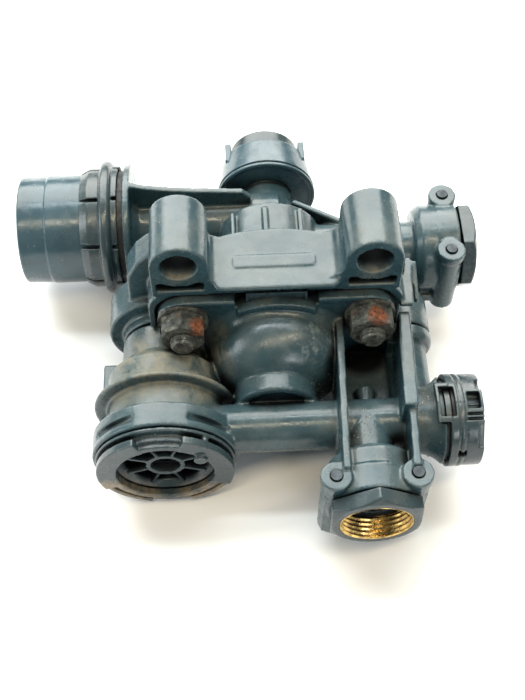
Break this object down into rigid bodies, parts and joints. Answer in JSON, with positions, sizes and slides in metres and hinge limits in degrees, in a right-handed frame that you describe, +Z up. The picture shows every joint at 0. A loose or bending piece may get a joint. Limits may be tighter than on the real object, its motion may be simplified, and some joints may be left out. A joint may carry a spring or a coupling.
{
  "type": "multiport air valve",
  "caption": "Moulded plastic multiport compressed-air relay valve with swivel threaded ports, grilled exhaust, vent cap, spring limiter and electrical connector.",
  "frame": {"origin": "midway between the two mounting holes, on the front face of their bosses", "axes": "+X right along the supply pipe, +Y back from the mounting face, +Z up through the mounting bosses"},
  "size_m": [0.1556, 0.1509, 0.0765],
  "materials": {
    "housing_plastic": "moulded glass-filled plastic, semi-gloss, dusty",
    "dark_plastic": "moulded plastic, satin",
    "cap_plastic": "smooth moulded plastic",
    "rubber": "nitrile rubber",
    "zinc_steel": "zinc-plated steel, corroded",
    "pin_steel": "dull steel",
    "spring_steel": "drawn wire",
    "brass": "turned brass",
    "piston_aluminium": "machined",
    "copper_winding": "enamelled wire",
    "filter_felt": "needled felt"
  },
  "bodies": {
    "valve_body": {"front_housing": "housing_plastic", "rear_cover": "housing_plastic", "limiter_housing": "housing_plastic", "rear_tube_housing": "housing_plastic", "right_port_housing": "housing_plastic", "seam_gasket": "rubber", "housing_bolts": "zinc_steel", "housing_nuts": "zinc_steel", "housing_washers": "zinc_steel", "label_plate": "dark_plastic", "relay_spring": "spring_steel", "relay_valve_spring": "spring_steel", "valve_guide": "dark_plastic", "guide_clip": "spring_steel", "exhaust_grille": "dark_plastic", "grille_seal": "rubber", "check_valve_spring": "spring_steel", "column_spigot_ring": "dark_plastic", "limiter_cap": "cap_plastic", "limiter_clamp_ring": "dark_plastic", "limiter_gasket": "rubber", "limiter_spring": "spring_steel", "limiter_bush": "dark_plastic", "vent_seal": "rubber", "front_port_pins": "pin_steel", "right_port_pins": "pin_steel", "connector_body": "dark_plastic", "connector_contacts": "brass", "connector_seal": "rubber", "solenoid_bobbin": "dark_plastic", "solenoid_coil": "copper_winding", "solenoid_core": "pin_steel", "armature_spring": "spring_steel"},
    "relay_piston": {"relay_piston": "piston_aluminium", "relay_piston_ring": "rubber"},
    "relay_valve": {"relay_valve": "dark_plastic"},
    "check_valve": {"check_valve": "dark_plastic"},
    "limiter_piston": {"limiter_piston": "piston_aluminium", "limiter_piston_ring": "rubber"},
    "solenoid_armature": {"solenoid_armature": "pin_steel"},
    "exhaust_ring": {"exhaust_ring": "dark_plastic"},
    "vent_cap": {"vent_cap": "cap_plastic", "vent_plug": "dark_plastic", "vent_filter": "filter_felt"},
    "connector_ring": {"connector_ring": "dark_plastic"},
    "front_port": {"front_port_fitting": "dark_plastic", "front_port_sleeve": "brass", "front_port_seal": "rubber"},
    "right_port": {"right_port_fitting": "dark_plastic", "right_port_sleeve": "brass", "right_port_seal": "rubber"}
  },
  "joints": [
    {"name": "relay_slide", "type": "slide", "parent": "valve_body", "child": "relay_piston", "axis": [0, 1, 0], "range_m": [0, 0.0025], "stiffness_N_per_m": 800, "deforming": ["relay_spring"]},
    {"name": "relay_valve_slide", "type": "slide", "parent": "valve_body", "child": "relay_valve", "axis": [0, 1, 0], "range_m": [0, 0.0025], "stiffness_N_per_m": 600, "deforming": ["relay_valve_spring"]},
    {"name": "check_valve_lift", "type": "slide", "parent": "valve_body", "child": "check_valve", "axis": [0, -1, 0], "range_m": [0, 0.002], "stiffness_N_per_m": 400, "deforming": ["check_valve_spring"]},
    {"name": "limiter_slide", "type": "slide", "parent": "valve_body", "child": "limiter_piston", "axis": [-1, 0, 0], "range_m": [0, 0.003], "stiffness_N_per_m": 4000, "deforming": ["limiter_spring"]},
    {"name": "armature_slide", "type": "slide", "parent": "valve_body", "child": "solenoid_armature", "axis": [0, 1, 0], "range_m": [0, 0.001], "stiffness_N_per_m": 300, "deforming": ["armature_spring"]},
    {"name": "exhaust_ring_turn", "type": "hinge", "parent": "valve_body", "child": "exhaust_ring", "pos_m": [-0.0365, -0.043, -0.045], "axis": [0, -1, 0], "range_deg": [0, 30]},
    {"name": "vent_cap_turn", "type": "hinge", "parent": "valve_body", "child": "vent_cap", "pos_m": [0, 0.07, -0.041], "axis": [0, 1, 0], "range_deg": [0, 45]},
    {"name": "connector_ring_turn", "type": "hinge", "parent": "valve_body", "child": "connector_ring", "pos_m": [0.056, -0.0325, -0.041], "axis": [-1, 0, 0], "range_deg": [0, 30]},
    {"name": "front_port_swivel", "type": "hinge", "parent": "valve_body", "child": "front_port", "pos_m": [0.0265, -0.06, -0.041], "axis": [0, -1, 0], "continuous": true},
    {"name": "right_port_swivel", "type": "hinge", "parent": "valve_body", "child": "right_port", "pos_m": [0.062, 0.0365, -0.041], "axis": [1, 0, 0], "continuous": true}
  ],
  "couplings": [
    {"joint": "relay_valve_slide", "follows": "relay_slide", "ratio": 1}
  ]
}
